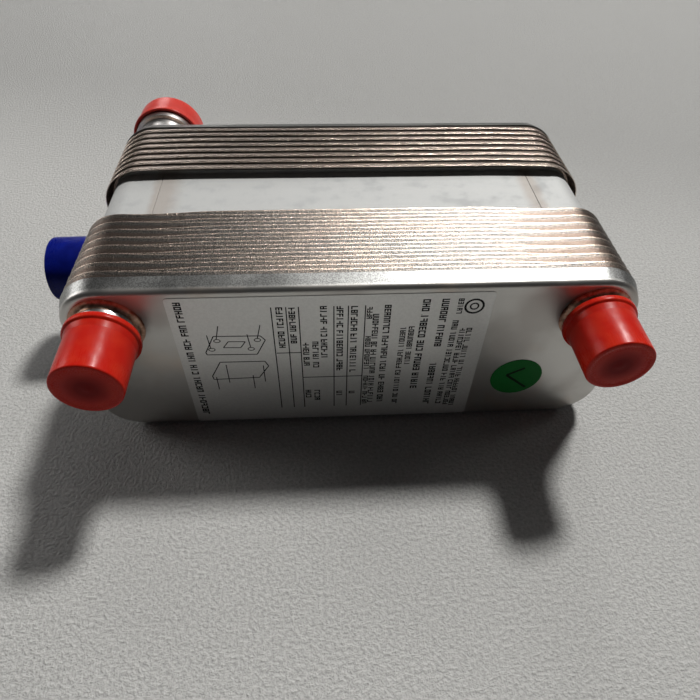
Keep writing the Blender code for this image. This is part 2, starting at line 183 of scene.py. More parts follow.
class Finish:  # a material and the few moves that all of them are made with
    def __init__(self, name):
        self.material = bpy.data.materials.new(name)
        self.material.use_nodes = True
        self.tree = self.material.node_tree
        self.tree.nodes.clear()

    def node(self, kind, settings, inputs, out=0):
        made = self.tree.nodes.new("ShaderNode" + kind)
        for key, value in settings.items():
            setattr(made, key, value)
        for key, value in inputs.items():
            if isinstance(value, Wire):
                self.tree.links.new(value.socket, made.inputs[key])
            else:
                made.inputs[key].default_value = value
        return Wire(self, made.outputs[out]) if made.outputs else None

    def place(self, stretch=(1, 1, 1)):
        where = self.node("TexCoord", {}, {}, "Object")
        return self.node("Mapping", {}, {"Vector": where, "Scale": stretch})

    def cloud(self, size, detail=2.0, rough=0.5, stretch=(1, 1, 1)):  # size of a blotch in mm
        sockets = {"Vector": self.place(stretch), "Scale": 1 / (size * mm)}
        sockets.update({"Detail": detail, "Roughness": rough})
        return self.node("TexNoise", {}, sockets, "Fac")

    def grains(self, size, feature="F1"):
        sockets = {"Vector": self.place(), "Scale": 1 / (size * mm)}
        return self.node("TexVoronoi", {"feature": feature}, sockets, "Distance")

    def painted(self, name):  # a number kept on the mesh
        return self.node("Attribute", {"attribute_name": name}, {}, "Fac")

    def step(self, value, low, high, start=0.0, end=1.0):
        sockets = {"Value": value, "From Min": low, "From Max": high, "To Min": start, "To Max": end}
        return self.node("MapRange", {"interpolation_type": "SMOOTHSTEP"}, sockets)

    def mix(self, first, second, share):
        pair = {0: share, 6: tint(first), 7: tint(second)}
        return self.node("Mix", {"data_type": "RGBA"}, pair, 2)

    def along(self, axis):
        where = self.node("TexCoord", {}, {}, "Object")
        return self.node("SeparateXYZ", {}, {"Vector": where}, axis)

    def coat(self, colour, rough, metal, bumps=(), **steady):
        inputs = {"Base Color": tint(colour), "Roughness": rough, "Metallic": metal}
        inputs.update({key.replace("_", " "): value for key, value in steady.items()})
        normal = None
        for height, depth in bumps:  # depth in mm
            sockets = {"Height": height, "Distance": depth * mm, "Strength": 1.0}
            if normal:
                sockets["Normal"] = normal
            normal = self.node("Bump", {}, sockets)
        if normal:
            inputs["Normal"] = normal
        shader = self.node("BsdfPrincipled", {}, inputs)
        self.node("OutputMaterial", {}, {"Surface": shader})
        return self.material


def tint(colour):
    return colour if isinstance(colour, Wire) or len(colour) == 4 else (*colour, 1.0)


# satin stainless of the two covers: rolled grain, thumb smears, straw tint round the ports, and painted shade
# that darkens the skirts behind the flat face
coverLook = {
    "steel": (0.57, 0.56, 0.535), "smear": (0.49, 0.47, 0.445), "straw": (0.62, 0.50, 0.40),
    "rough": 0.34, "smearRough": 0.44, "skirt": (0.29, 0.295, 0.287), "skirtDark": (0.12, 0.12, 0.12),
    "skirtFrom": 2.6, "skirtTo": 0.9,  # mm back from the flat face
}


def coverSteel():
    finish = Finish("satinCoverSteel")
    smears = finish.step(finish.cloud(22, 3), 0.42, 0.68)
    streaks = finish.cloud(0.35, 3, 0.6, (0.03, 1, 1))
    straw = finish.step(finish.cloud(30, 2), 0.55, 0.75) * 0.5
    colour = finish.mix(coverLook["steel"], coverLook["smear"], smears)
    colour = finish.mix(colour, coverLook["straw"], straw)
    halfway = (faceY + rearFaceY) / 2
    fromMiddle = finish.node("Math", {"operation": "ABSOLUTE"}, {0: finish.along("Y") - halfway})
    reach = rearFaceY - halfway
    edges = [reach - coverLook[edge] * mm for edge in ("skirtFrom", "skirtTo")]
    # painted shade: the skirts are drawn darker than the flat face, broken into flecks, though they are the
    # same steel
    skirt = finish.step(fromMiddle, *edges, 1.0, 0.0)
    sparkle = finish.cloud(0.5, 2, 0.7)
    colour = finish.mix(colour, coverLook["skirt"], skirt)
    colour = finish.mix(colour, coverLook["skirtDark"], finish.step(sparkle, 0.38, 0.6, 0.8, 0.0) * skirt)
    rough = finish.step(smears + streaks * 0.3, 0, 1.3, coverLook["rough"], coverLook["smearRough"])
    fine = finish.cloud(0.25, 2)
    waves = finish.cloud(26, 1)
    frost = finish.cloud(0.55, 2, 0.7)
    return finish.coat(colour, rough, 1.0, [(waves, 0.10), (streaks, 0.004), (fine, 0.012), (frost, 0.035)])


# the plates' skirts: steel sheet with copper braze that has crept over the rims, with painted highlights on
# the rims and painted shadow under them; the front pack is painted darker and the rear pack lighter, as shade
# and light on one and the same steel
plateLook = {
    # the two packs are the same steel and braze: the front set is painted darker as shade, the rear set
    # lighter as light
    "front": {
        "steel": (0.125, 0.124, 0.119), "copper": (0.235, 0.185, 0.15), "rimTintAndHighlight": (0.50, 0.405, 0.335),
        "share": 0.30, "under": 0.75,
    },
    "rear": {
        "steel": (0.50, 0.455, 0.415), "copper": (0.72, 0.56, 0.47), "rimTintAndHighlight": (0.90, 0.77, 0.67),
        "share": 0.5, "under": 0.15,
    },
    "shadow": (0.10, 0.07, 0.055), "grain": 0.45, "beads": 0.6, "rough": 0.33,
    "rimEdge": (0.15, 0.75), "underEdge": (1.5, 2.3),  # mm from the rim
    "endsFrom": 78, "endsTo": 97,  # mm from the middle
}


def plateSteel(side):
    look = plateLook[side]
    finish = Finish(side + "PlateSteelWithPaintedLight")
    fromRim = finish.painted("fromRim")
    rim = finish.step(fromRim, *plateLook["rimEdge"], 1.0, 0.0)
    under = finish.step(fromRim, *plateLook["underEdge"])
    across = finish.along("X") - middleX
    across = finish.node("Math", {"operation": "ABSOLUTE"}, {0: across})
    turned = finish.step(across, plateLook["endsFrom"] * mm, plateLook["endsTo"] * mm)
    blotch = finish.cloud(16, 3, 0.6, (0.4, 1, 1))
    grain = finish.cloud(plateLook["grain"], 2, 0.7)
    share = look["share"] + (blotch - 0.5) * 1.1 + (grain - 0.5) * 1.3 + turned * 0.45
    colour = finish.mix(look["steel"], look["copper"], finish.step(share, 0.0, 1.0))
    colour = finish.mix([c * 0.32 for c in look["steel"]], colour, finish.step(grain, 0.36, 0.62))
    # painted highlight along each rim, partly the tan of the braze there, broken up by the grain
    colour = finish.mix(colour, look["rimTintAndHighlight"], rim * finish.step(grain, 0.3, 0.6, 0.55, 1.0))
    # painted shadow on the skirt more than 1.5 mm behind each rim, in the gaps between plates
    colour = finish.mix(colour, plateLook["shadow"], under * look["under"])
    rough = finish.step(grain + rim * 0.3, 0.2, 1.0, plateLook["rough"] + 0.08, plateLook["rough"] - 0.1)
    beads = finish.cloud(plateLook["beads"], 2, 0.6)
    return finish.coat(colour, rough, 1.0, [(beads, 0.13), (grain, 0.10)])


# matt rolled sheet of the chamber, with dull blotches and a brown bloom beside its seams
chamberLook = {
    "sheet": (0.405, 0.41, 0.405), "dull": (0.365, 0.373, 0.373), "bloom": (0.30, 0.26, 0.225),
    "pit": (0.30, 0.31, 0.31), "rough": 0.66, "metal": 0.35,
    "seams": ((-76.5, -2.5, 7.5), (77, -4, 3)),  # where a seam is, and how far its bloom goes to either side
}


def chamberSteel():
    finish = Finish("mattChamberSheet")
    blotch = finish.step(finish.cloud(9, 4, 0.6), 0.45, 0.7)
    colour = finish.mix(chamberLook["sheet"], chamberLook["dull"], blotch)
    drift = (finish.cloud(6, 2) - 0.5) * (3 * mm)
    for seam, left, right in chamberLook["seams"]:
        past = finish.along("X") - (middleX + seam * mm) + drift
        bloom = finish.step(past, left * 1.6 * mm, left * 0.3 * mm)
        bloom = bloom * finish.step(past, right * 0.4 * mm, right * 1.5 * mm, 1.0, 0.0)
        colour = finish.mix(colour, chamberLook["bloom"], bloom * 0.7)
    pits = finish.step(finish.cloud(1.6, 3, 0.7), 0.62, 0.75)
    colour = finish.mix(colour, chamberLook["pit"], pits * 0.3)
    grain = finish.cloud(0.4, 2)
    rough = finish.step(blotch, 0, 1, chamberLook["rough"], chamberLook["rough"] + 0.1)
    shade = [c * 0.8 for c in chamberLook["sheet"]]
    colour = finish.mix(shade, colour, finish.step(grain, 0.3, 0.55, 0.4, 1.0))
    return finish.coat(colour, rough, chamberLook["metal"], [(finish.cloud(14, 1), 0.02), (grain, 0.035)])


def turnedSteel(name, colour=(0.62, 0.60, 0.58), rough=0.24):
    finish = Finish(name)
    marks = finish.cloud(1.2, 3, 0.6)
    lathe = finish.cloud(0.12, 1, 0.5)
    shade = finish.mix(colour, [c * 0.75 for c in colour], finish.step(marks, 0.45, 0.7))
    return finish.coat(shade, finish.step(marks, 0, 1, rough, rough + 0.14), 1.0, [(lathe, 0.006)])


brazeLook = {"dark": (0.30, 0.16, 0.105), "light": (0.55, 0.36, 0.27), "flow": 2.2}


def copperBraze():
    finish = Finish("copperBraze")
    flow = finish.cloud(brazeLook["flow"], 3, 0.6)
    colour = finish.mix(brazeLook["dark"], brazeLook["light"], finish.step(flow, 0.35, 0.65))
    return finish.coat(colour, finish.step(flow, 0.3, 0.7, 0.28, 0.5), 1.0, [(flow, 0.25)])


# soft push-on caps: glossy polythene, with painted shade for the tube's dark hollow seen through the closed
# end and along the side where the tube lies inside
capLook = {
    # mouth is the colour of the painted shade over the tube's hollow behind the closed end
    "red": {"body": (0.43, 0.012, 0.006), "mouth": (0.19, 0.004, 0.004), "edge": (0.50, 0.030, 0.012)},
    "paleRed": {"body": (0.50, 0.045, 0.034), "mouth": (0.25, 0.012, 0.012), "edge": (0.55, 0.075, 0.06)},
    "blue": {"body": (0.002, 0.006, 0.13), "mouth": (0.001, 0.003, 0.05), "edge": (0.004, 0.012, 0.22)},
}


def capPlastic(name):
    look = capLook[name]
    finish = Finish(name + "Polythene")
    mouth = finish.painted("paintedMouthShade")
    cloudy = finish.cloud(5, 2)
    colour = finish.mix(look["body"], look["edge"], finish.step(cloudy, 0.35, 0.75) * 0.6)
    # painted shade: darker in the middle of the closed end and along a band of the side where the tube lies
    # inside
    colour = finish.mix(colour, look["mouth"], mouth)
    scuffs = finish.cloud(0.5, 3, 0.7, (1, 0.15, 1))
    return finish.coat(
        colour, finish.step(scuffs, 0.35, 0.75, 0.24, 0.36) + mouth * 0.3, 0.0,
        [(finish.cloud(7, 1), 0.25), (scuffs, 0.008)],
        Subsurface_Weight=0.12, Subsurface_Radius=(1.0, 0.25, 0.15), Subsurface_Scale=0.002,
        Coat_Weight=0.03 * (1 - mouth), Coat_Roughness=0.2, Specular_IOR_Level=0.1,
    )


def printedFilm(name, colour, rough=0.36, metal=0.0):
    finish = Finish(name)
    fibres = finish.cloud(0.8, 3, 0.6)
    shade = finish.mix(colour, [c * 0.93 for c in colour], finish.step(fibres, 0.3, 0.7))
    rough = finish.step(fibres, 0.3, 0.7, rough, rough + 0.06)
    return finish.coat(shade, rough, metal, [(finish.cloud(9, 2), 0.05)], Specular_IOR_Level=0.2)


def inkFilm(name, colour):
    finish = Finish(name)
    worn = finish.cloud(0.5, 2)
    shade = finish.mix(colour, [c + 0.006 for c in colour], worn)
    return finish.coat(shade, finish.step(worn, 0.3, 0.7, 0.5, 0.6), 0.0, Specular_IOR_Level=0.1)


def wireMesh():
    finish = Finish("knittedWire")
    loops = finish.grains(1.6, "DISTANCE_TO_EDGE")
    thread = finish.step(loops, 0.05, 0.22, 1.0, 0.0)
    # painted shade: the gaps between the wires are near black
    colour = finish.mix((0.05, 0.05, 0.05), (0.55, 0.54, 0.52), thread)
    return finish.coat(colour, finish.step(thread, 0, 1, 0.8, 0.3), 1.0, [(thread, 0.5)])


looks = {
    "cover": coverSteel(),
    "frontPlates": plateSteel("front"),
    "rearPlates": plateSteel("rear"),
    "chamber": chamberSteel(),
    "ports": turnedSteel("turnedPortSteel"),
    "studs": turnedSteel("studSteel", (0.50, 0.50, 0.51), 0.34),
    "braze": copperBraze(),
    "red": capPlastic("red"),
    "paleRed": capPlastic("paleRed"),
    "blue": capPlastic("blue"),
    "label": printedFilm("labelFilm", (0.78, 0.78, 0.76), 0.32, 0.6),
    "ink": inkFilm("labelInk", (0.012, 0.012, 0.014)),
    "sticker": printedFilm("stickerFilm", (0.002, 0.15, 0.02), 0.6),
    "stickerInk": inkFilm("stickerInk", (0.002, 0.016, 0.004)),
    "wire": wireMesh(),
}
print("finishes made:", len(looks))


# pressed plates and covers

def roundedSheet(low, high, y, radius, steps, cuts):  # a flat rounded rectangle that faces -Y
    pick()
    middle = ((low.x + high.x) / 2, y, (low.z + high.z) / 2)
    bpy.ops.mesh.primitive_plane_add(size=1, location=middle, rotation=(pi / 2, 0, 0))
    sheet = bpy.context.object
    sheet.scale = (high.x - low.x, high.z - low.z, 1)
    settle(sheet)
    editing(sheet, "VERT")
    bpy.ops.mesh.select_all(action="SELECT")
    bpy.ops.mesh.bevel(offset=radius * mm, offset_type="OFFSET", segments=steps, affect="VERTICES")
    for count, longer, shorter in ((cuts[0], 100, 1000), (cuts[1], 30, 100)):
        choose(sheet, "EDGE", lambda edge: shorter > lengthOf(sheet, edge) > longer)
        bpy.ops.mesh.subdivide(number_cuts=count)
    pick(sheet)
    return sheet


def pressIn(sheet, steps):  # steps of (inwards, outwards) in mm, from the rim to the flat base
    editing(sheet, "FACE")
    bpy.ops.mesh.select_all(action="SELECT")
    for inwards, outwards in steps:
        bpy.ops.mesh.inset(
            thickness=inwards * mm, depth=outwards * mm, use_even_offset=True, use_boundary=True
        )
    pick(sheet)


def roundCutter(x, z, y, radius, length, axis="Y"):
    pick()
    turn = (pi / 2, 0, 0) if axis == "Y" else (0, pi / 2, 0)
    bpy.ops.mesh.primitive_cylinder_add(
        vertices=64, radius=radius * mm, depth=length * mm, location=unit(x, y, z), rotation=turn
    )
    cutter = bpy.context.object
    settle(cutter)
    return cutter


plates = {
    "count": 16, "corner": 17, "cornerSteps": 10, "cuts": (44, 8), "sheet": 0.4, "flare": radians(14.5),
    "rings": (0.3, 0.45, 1.0, 1.1, 1.6),  # back from the rim, one after the other
    "earDepth": 1.5, "earFrom": 62, "earTo": 99,  # the rims run deeper towards the corners
    "met": {"front": (46, 1.0), "rear": (-40, 0.6)},  # where every second rim nears the next, and how far
    "meeting": 40, "holes": 9, "wobble": 0.10, "wobbleAcross": 14, "rimRound": 0.13, "nearRim": 0.13,
}


def rimPull(x, pitch, met):  # met is None on a plate whose rim runs free
    away = abs(x - middleX) / mm
    pull = plates["earDepth"] * smooth(away, plates["earFrom"], plates["earTo"])
    if not met:
        return pull
    start, share = met
    return pull - pitch * share * smooth(away, start, start + plates["meeting"])


def fromRimOf(point, high, pitch, met):
    return (high.y - point.y) / mm + rimPull(point.x, pitch, met)


def channelPlate(low, high, pitch, met):
    depth = (high.y - low.y) / mm
    sheet = roundedSheet(low, high, high.y, plates["corner"], plates["cornerSteps"], plates["cuts"])
    steps = list(plates["rings"]) + [depth - sum(plates["rings"])]
    pressIn(sheet, [(step * tan(plates["flare"]), step) for step in steps])
    for vertex in sheet.data.vertices:  # the rim's line is pulled into its real curve
        share = (vertex.co.y - low.y) / (high.y - low.y)
        vertex.co.y += rimPull(vertex.co.x, pitch, met) * mm * share
    apply(sheet, "wall", "SOLIDIFY", thickness=plates["sheet"] * mm, offset=-1, use_even_offset=True)
    offRim = [abs(fromRimOf(vertex.co, high, pitch, met)) for vertex in sheet.data.vertices]
    choose(sheet, "EDGE", lambda edge: all(offRim[i] < plates["nearRim"] for i in edge.vertices))
    bpy.ops.mesh.bevel(offset=plates["rimRound"] * mm, segments=2, affect="EDGES")
    for x in (-portX, portX):
        for z in (portLowZ, portHighZ):
            cut(sheet, roundCutter(x, z, (low.y - faceY) / mm, plates["holes"], 6))
    fromRim = [max(0.0, fromRimOf(vertex.co, high, pitch, met)) for vertex in sheet.data.vertices]
    kept = sheet.data.attributes.new("fromRim", "FLOAT", "POINT")
    kept.data.foreach_set("value", fromRim)
    firmEdges(sheet, 60)
    return sheet


def wobble(obj, seed):  # no two pressed sheets are quite alike
    amount = plates["wobble"] * mm
    across = plates["wobbleAcross"]
    for vertex in obj.data.vertices:
        where = Vector((vertex.co.x / mm / across, seed * 3.7, vertex.co.z / mm / across))
        vertex.co.y += noise.noise(where) * amount * 1.6
        if vertex.co.z < plateTop - mm:
            vertex.co.z += noise.noise(where + Vector((0, 0, 31))) * amount * 0.5


low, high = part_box("front_plate_01")
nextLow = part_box("front_plate_02")[0]
platePitch = (nextLow.y - low.y) / mm
freePlate = channelPlate(low, high, platePitch, None)
metPlates = {side: channelPlate(low, high, platePitch, met) for side, met in plates["met"].items()}
for count in range(plates["count"]):
    node = f"front_plate_{count + 1:02d}"
    plate = copyOf(metPlates["front"] if count % 2 else freePlate, "frontPlate")
    plate.location.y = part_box(node)[0].y - low.y
    settle(plate)
    wobble(plate, count)
    dress(plate, f"frontPlate{count + 1:02d}", looks["frontPlates"], "root", [node])
    node = f"rear_plate_{count + 1:02d}"
    plate = copyOf(metPlates["rear"] if count % 2 else freePlate, "rearPlate")
    plate.rotation_euler.z = pi
    plate.location = (2 * middleX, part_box(node)[1].y + low.y, 0)
    settle(plate)
    wobble(plate, count + 40)
    dress(plate, f"rearPlate{count + 1:02d}", looks["rearPlates"], "root", [node])
for master in (freePlate, *metPlates.values()):
    bpy.data.objects.remove(master)
print("channel plates pressed:", 2 * plates["count"])


covers = {
    "corner": 17, "cornerSteps": 12, "cuts": (24, 6), "bend": 2.3, "bendSteps": 6,
    "sheet": 2, "skirtSheet": 0.4, "splitX": (-70, -45, -15, 20, 50, 70),  # the flat is drawn in small fields
    "frontHole": 10.8, "airHole": 13.6, "studHole": 4.3, "through": 9,
}
studPlaces = ((-30, 60), (-30, 16), (62, 38))


def pressedCover(low, high):
    flare = plates["flare"]
    sheet = roundedSheet(low, high, high.y, covers["corner"], covers["cornerSteps"], covers["cuts"])
    bend = covers["bend"]
    straight = (high.y - low.y) / mm - bend * (1 - sin(flare))
    steps = [(straight * share * tan(flare), straight * share) for share in (0.06, 0.44, 0.5)]
    turned = [flare + (pi / 2 - flare) * i / covers["bendSteps"] for i in range(covers["bendSteps"] + 1)]
    for before, after in zip(turned, turned[1:]):
        steps.append((bend * (cos(before) - cos(after)), bend * (sin(after) - sin(before))))
    steps.append((1.5, 0))
    pressIn(sheet, steps)
    editing(sheet, "FACE")
    for x in covers["splitX"]:
        bpy.ops.mesh.select_all(action="SELECT")
        bpy.ops.mesh.bisect(plane_co=unit(x, 0, 0), plane_no=(1, 0, 0))
    bpy.ops.mesh.select_all(action="SELECT")
    bpy.ops.mesh.bisect(plane_co=unit(0, 0, 38), plane_no=(0, 0, 1))
    pick(sheet)
    flat = sheet.vertex_groups.new(name="flat")
    flat.add([v.index for v in sheet.data.vertices if v.co.y < low.y + 0.2 * mm], 1.0, "REPLACE")
    apply(
        sheet, "wall", "SOLIDIFY", thickness=covers["sheet"] * mm, offset=-1, vertex_group="flat",
        thickness_vertex_group=covers["skirtSheet"] / covers["sheet"],
    )
    return sheet


frontCover = pressedCover(*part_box("front_cover_plate"))
rearCover = copyOf(frontCover, "rearCover")
rearCover.rotation_euler.z = pi
rearCover.location = (2 * middleX, rearFaceY + faceY, 0)
settle(rearCover)
for x in (-portX, portX):
    cut(frontCover, roundCutter(x, portHighZ, 0, covers["frontHole"], covers["through"]))
for z in (portLowZ, portHighZ):
    cut(rearCover, roundCutter(-portX, z, depthAll, covers["airHole"], covers["through"]))
for x, z in studPlaces:
    cut(rearCover, roundCutter(x, z, depthAll, covers["studHole"], covers["through"]))
for obj, name in ((frontCover, "front"), (rearCover, "rear")):
    firmEdges(obj, 50)
    dress(obj, name + "Cover", looks["cover"], "root", [name + "_cover_plate"])
print("covers pressed")


# the chamber's band, in four welded parts

band = {
    "corner": 10.5, "cornerSteps": 12, "cuts": (20, 4), "wall": 2, "seamGap": 0.1, "edgeRound": 0.2,
    "drainHole": 11.6, "through": 12,
}


def bandPart(name, node, keeps):
    left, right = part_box("chamber_left_end"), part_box("chamber_right_end")
    low, high = left[0].copy(), right[1].copy()
    sheet = roundedSheet(low, high, low.y, band["corner"], band["cornerSteps"], band["cuts"])
    pressIn(sheet, [(band["wall"], 0)])
    editing(sheet, "FACE")
    bpy.ops.object.mode_set(mode="OBJECT")
    biggest = max(sheet.data.polygons, key=lambda face: face.area).index
    choose(sheet, "FACE", lambda face: face.index == biggest)
    bpy.ops.mesh.delete(type="FACE")
    bpy.ops.mesh.select_all(action="SELECT")
    bpy.ops.mesh.extrude_region_move(TRANSFORM_OT_translate={"value": (0, high.y - low.y, 0)})
    bpy.ops.mesh.select_all(action="SELECT")
    bpy.ops.mesh.normals_make_consistent(inside=False)
    for where, facing in keeps:
        bpy.ops.mesh.select_all(action="SELECT")
        bpy.ops.mesh.bisect(plane_co=where, plane_no=facing, use_fill=True, clear_inner=True)
    bpy.ops.mesh.select_all(action="SELECT")
    bpy.ops.mesh.remove_doubles(threshold=0.001 * mm)
    bpy.ops.mesh.normals_make_consistent(inside=False)
    pick(sheet)
    sheet.name = name
    return sheet


seamLeft = (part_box("chamber_left_end")[1].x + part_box("chamber_top_plate")[0].x) / 2
seamRight = (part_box("chamber_right_end")[0].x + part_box("chamber_top_plate")[1].x) / 2
gap = band["seamGap"] * mm / 2
toRight = ((seamLeft + gap, 0, 0), (1, 0, 0))
toLeft = ((seamRight - gap, 0, 0), (-1, 0, 0))
halfway = (0, 0, plateTop / 2)
bandParts = (
    ("chamberTop", "chamber_top_plate", (toRight, toLeft, (halfway, (0, 0, 1)))),
    ("chamberBottom", "chamber_bottom_plate", (toRight, toLeft, (halfway, (0, 0, -1)))),
    ("chamberLeftEnd", "chamber_left_end", (((seamLeft - gap, 0, 0), (-1, 0, 0)),)),
    ("chamberRightEnd", "chamber_right_end", (((seamRight + gap, 0, 0), (1, 0, 0)),)),
)
drainLow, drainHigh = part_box("drain_port")
drainY = ((drainLow.y + drainHigh.y) / 2 - faceY) / mm
drainZ = (drainLow.z + drainHigh.z) / 2 / mm
chamberLeftX = (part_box("chamber_left_end")[0].x - middleX) / mm
for name, node, keeps in bandParts:
    part = bandPart(name, node, keeps)
    if name == "chamberLeftEnd":
        cut(part, roundCutter(chamberLeftX, drainZ, drainY, band["drainHole"], band["through"], "X"))
    rounding = {"width": band["edgeRound"] * mm, "segments": 2}
    apply(part, "edges", "BEVEL", limit_method="ANGLE", angle_limit=radians(50), **rounding)
    firmEdges(part, 50)
    dress(part, name, looks["chamber"], "root", [node])
print("chamber band bent:", len(bandParts))


# turned pieces: a profile of (radius, height) in mm is drawn point by point, then spun

def eased(points, radii, steps=4):  # the same profile with its corners rounded
    line = [points[0]]
    for before, corner, after, radius in zip(points, points[1:], points[2:], radii):
        a, b, c = Vector(before), Vector(corner), Vector(after)
        into, out = (b - a).normalized(), (c - b).normalized()
        if radius <= 0 or abs(into.cross(out)) < 1e-6:
            line.append(corner)
            continue
        angle = into.angle(out)
        reach = radius * tan(angle / 2)
        for i in range(steps + 1):
            t = i / steps
            p = (b - into * reach) * (1 - t) ** 2 + b * 2 * t * (1 - t) + (b + out * reach) * t ** 2
            line.append((p.x, p.y))
    line.append(points[-1])
    return line


def turn(profile, sides=72, ring=True):
    pick()
    bpy.ops.mesh.primitive_plane_add(size=mm, location=(0, 0, 0))
    piece = bpy.context.object
    editing(piece, "VERT")
    bpy.ops.mesh.select_all(action="SELECT")
    bpy.ops.mesh.merge(type="CENTER")
    bpy.ops.mesh.select_all(action="SELECT")
    bpy.ops.transform.translate(value=(profile[0][0] * mm, 0, profile[0][1] * mm))
    path = list(profile) + ([profile[0]] if ring else [])
    for here, there in zip(path, path[1:]):
        move = ((there[0] - here[0]) * mm, 0, (there[1] - here[1]) * mm)
        bpy.ops.mesh.extrude_vertices_move(TRANSFORM_OT_translate={"value": move})
    bpy.ops.mesh.select_all(action="SELECT")
    bpy.ops.mesh.spin(steps=sides, angle=2 * pi, center=(0, 0, 0), axis=(0, 0, 1))
    bpy.ops.mesh.select_all(action="SELECT")
    bpy.ops.mesh.remove_doubles(threshold=0.001 * mm)
    bpy.ops.mesh.normals_make_consistent(inside=False)
    pick(piece)
    if sum(face.center.dot(face.normal) * face.area for face in piece.data.polygons) < 0:
        editing(piece, "FACE")
        bpy.ops.mesh.select_all(action="SELECT")
        bpy.ops.mesh.flip_normals()
        pick(piece)
    return piece


outwards = {"front": (pi / 2, 0, 0), "rear": (-pi / 2, 0, 0), "left": (0, -pi / 2, 0)}


def seat(piece, x, y, z, facing):
    piece.location = unit(x, y, z)
    piece.rotation_euler = outwards[facing]
    settle(piece)
    return piece


def threaded(bore, deep, start, end, pitch):  # ring grooves from the mouth inwards
    points = []
    height = start
    groove = ((0, 0.15), (1, 0.5), (0, 0.85))
    while height - pitch > end:
        points += [(bore + deep * out, height - pitch * down) for out, down in groove]
        height -= pitch
    return points


ports = {
    "front": {"radius": 10.5, "bore": 8.05, "reach": 21.2, "wall": 2},
    "air": {"radius": 15, "bore": 12.05, "reach": 23.7, "wall": 2, "neck": 13.3, "shoulder": 9.5},
    "drain": {"radius": 13, "bore": 9.3, "reach": 24.5, "wall": 2, "neck": 11.3, "shoulder": 4},
    "groove": (5.4, 0.12), "mouth": (11, 0.35),  # how far a plain tube's groove and mouth run, and how deep
    "thread": {"deep": 0.95, "pitch": 1.81, "length": 15},
}


def portProfile(port):
    radius, bore, reach = port["radius"], port["bore"], port["reach"]
    if "neck" not in port:  # a plain tube for soldering, its mouth a touch wider
        long, deep = ports["mouth"]
        grooveEnd, shallow = ports["groove"]
        points = [
            (bore, -port["wall"]), (radius, -port["wall"]), (radius, 1.2), (radius - shallow, 1.5),
            (radius - shallow, grooveEnd + 0.6), (radius, grooveEnd + 1), (radius, reach),
            (bore + deep, reach), (bore + deep, reach - long), (bore, reach - long - 0.4),
        ]
        return eased(points, [0, 0, 0, 0, 0, 0, 0.45, 0.45, 0, 0], 3)
    points = [
        (bore, -port["wall"]), (port["neck"], -port["wall"]), (port["neck"], port["shoulder"]),
        (radius, port["shoulder"]), (radius, reach), (bore + 1.1, reach), (bore, reach - 1.1),
    ]
    line = eased(points, [0, 0.4, 0.5, 0.7, 0.1], 3)
    thread = ports["thread"]
    return line + threaded(bore, thread["deep"], reach - 1.3, reach - thread["length"], thread["pitch"])


portSeats = (
    ("frontPortLeft", "refrigerant_port_left", "front", -portX, 0, portHighZ, "front"),
    ("frontPortRight", "refrigerant_port_right", "front", portX, 0, portHighZ, "front"),
    ("airPortUpper", "air_port_upper", "air", -portX, depthAll, portHighZ, "rear"),
    ("airPortLower", "air_port_lower", "air", -portX, depthAll, portLowZ, "rear"),
    ("drainPort", "drain_port", "drain", chamberLeftX, drainY, drainZ, "left"),
)
for name, node, kind, x, y, z, facing in portSeats:
    tube = seat(turn(portProfile(ports[kind])), x, y, z, facing)
    shadeByAngle(tube, 28)
    dress(tube, name, looks["ports"], "root", [node])
print("ports turned:", len(portSeats))


fillets = {
    "front": (2.3, 1.9), "air": (1.3, 1.2), "drain": (1.5, 1.4),  # width, height
    "steps": 7, "lumps": 0.35,
}


def brazeFillet(radius, width, height, seed):
    steps = fillets["steps"]
    curve = []
    for i in range(steps + 1):
        t = i / steps * pi / 2
        curve.append((radius + width * (1 - sin(t)) + 0.02, 0.02 + height * (1 - cos(t)) + 0.06 * (i == 0)))
    fillet = turn([(radius + 0.02, 0.02)] + curve, 80)
    for vertex in fillet.data.vertices:
        angle = atan2(vertex.co.y, vertex.co.x)
        lump = noise.noise(Vector((cos(angle) * 2.2, sin(angle) * 2.2, seed * 5.1)))
        away = (hypot(vertex.co.x, vertex.co.y) / mm - radius) / width
        if vertex.co.z > 0.05 * mm:
            vertex.co.z *= 1 + lump * fillets["lumps"] * 1.4
        else:
            grow = 1 + lump * fillets["lumps"] * max(away, 0) * 0.16
            vertex.co.x *= grow
            vertex.co.y *= grow
    return fillet


filletNames = ("brazeFrontLeft", "brazeFrontRight", "brazeAirUpper", "brazeAirLower", "brazeDrain")
for seed, name in enumerate(filletNames):
    kind, x, y, z, facing = portSeats[seed][2:]
    radius = ports[kind].get("neck", ports[kind]["radius"])
    fillet = seat(brazeFillet(radius, *fillets[kind], seed), x, y, z, facing)
    shadeByAngle(fillet, 60)
    dress(fillet, name, looks["braze"])
print("braze fillets run:", len(filletNames))


caps = {
    "front": {"radius": 11.6, "bead": 12.9, "hollow": 10.65, "mouth": 8.3},
    "air": {"radius": 16.2, "bead": 16.7, "hollow": 15.15, "mouth": 12.4},
    "drain": {"radius": 13.9, "bead": 14.6, "hollow": 13.15, "mouth": 9.6},
    "wall": 1, "recess": 0.15, "nub": 0.9,
}


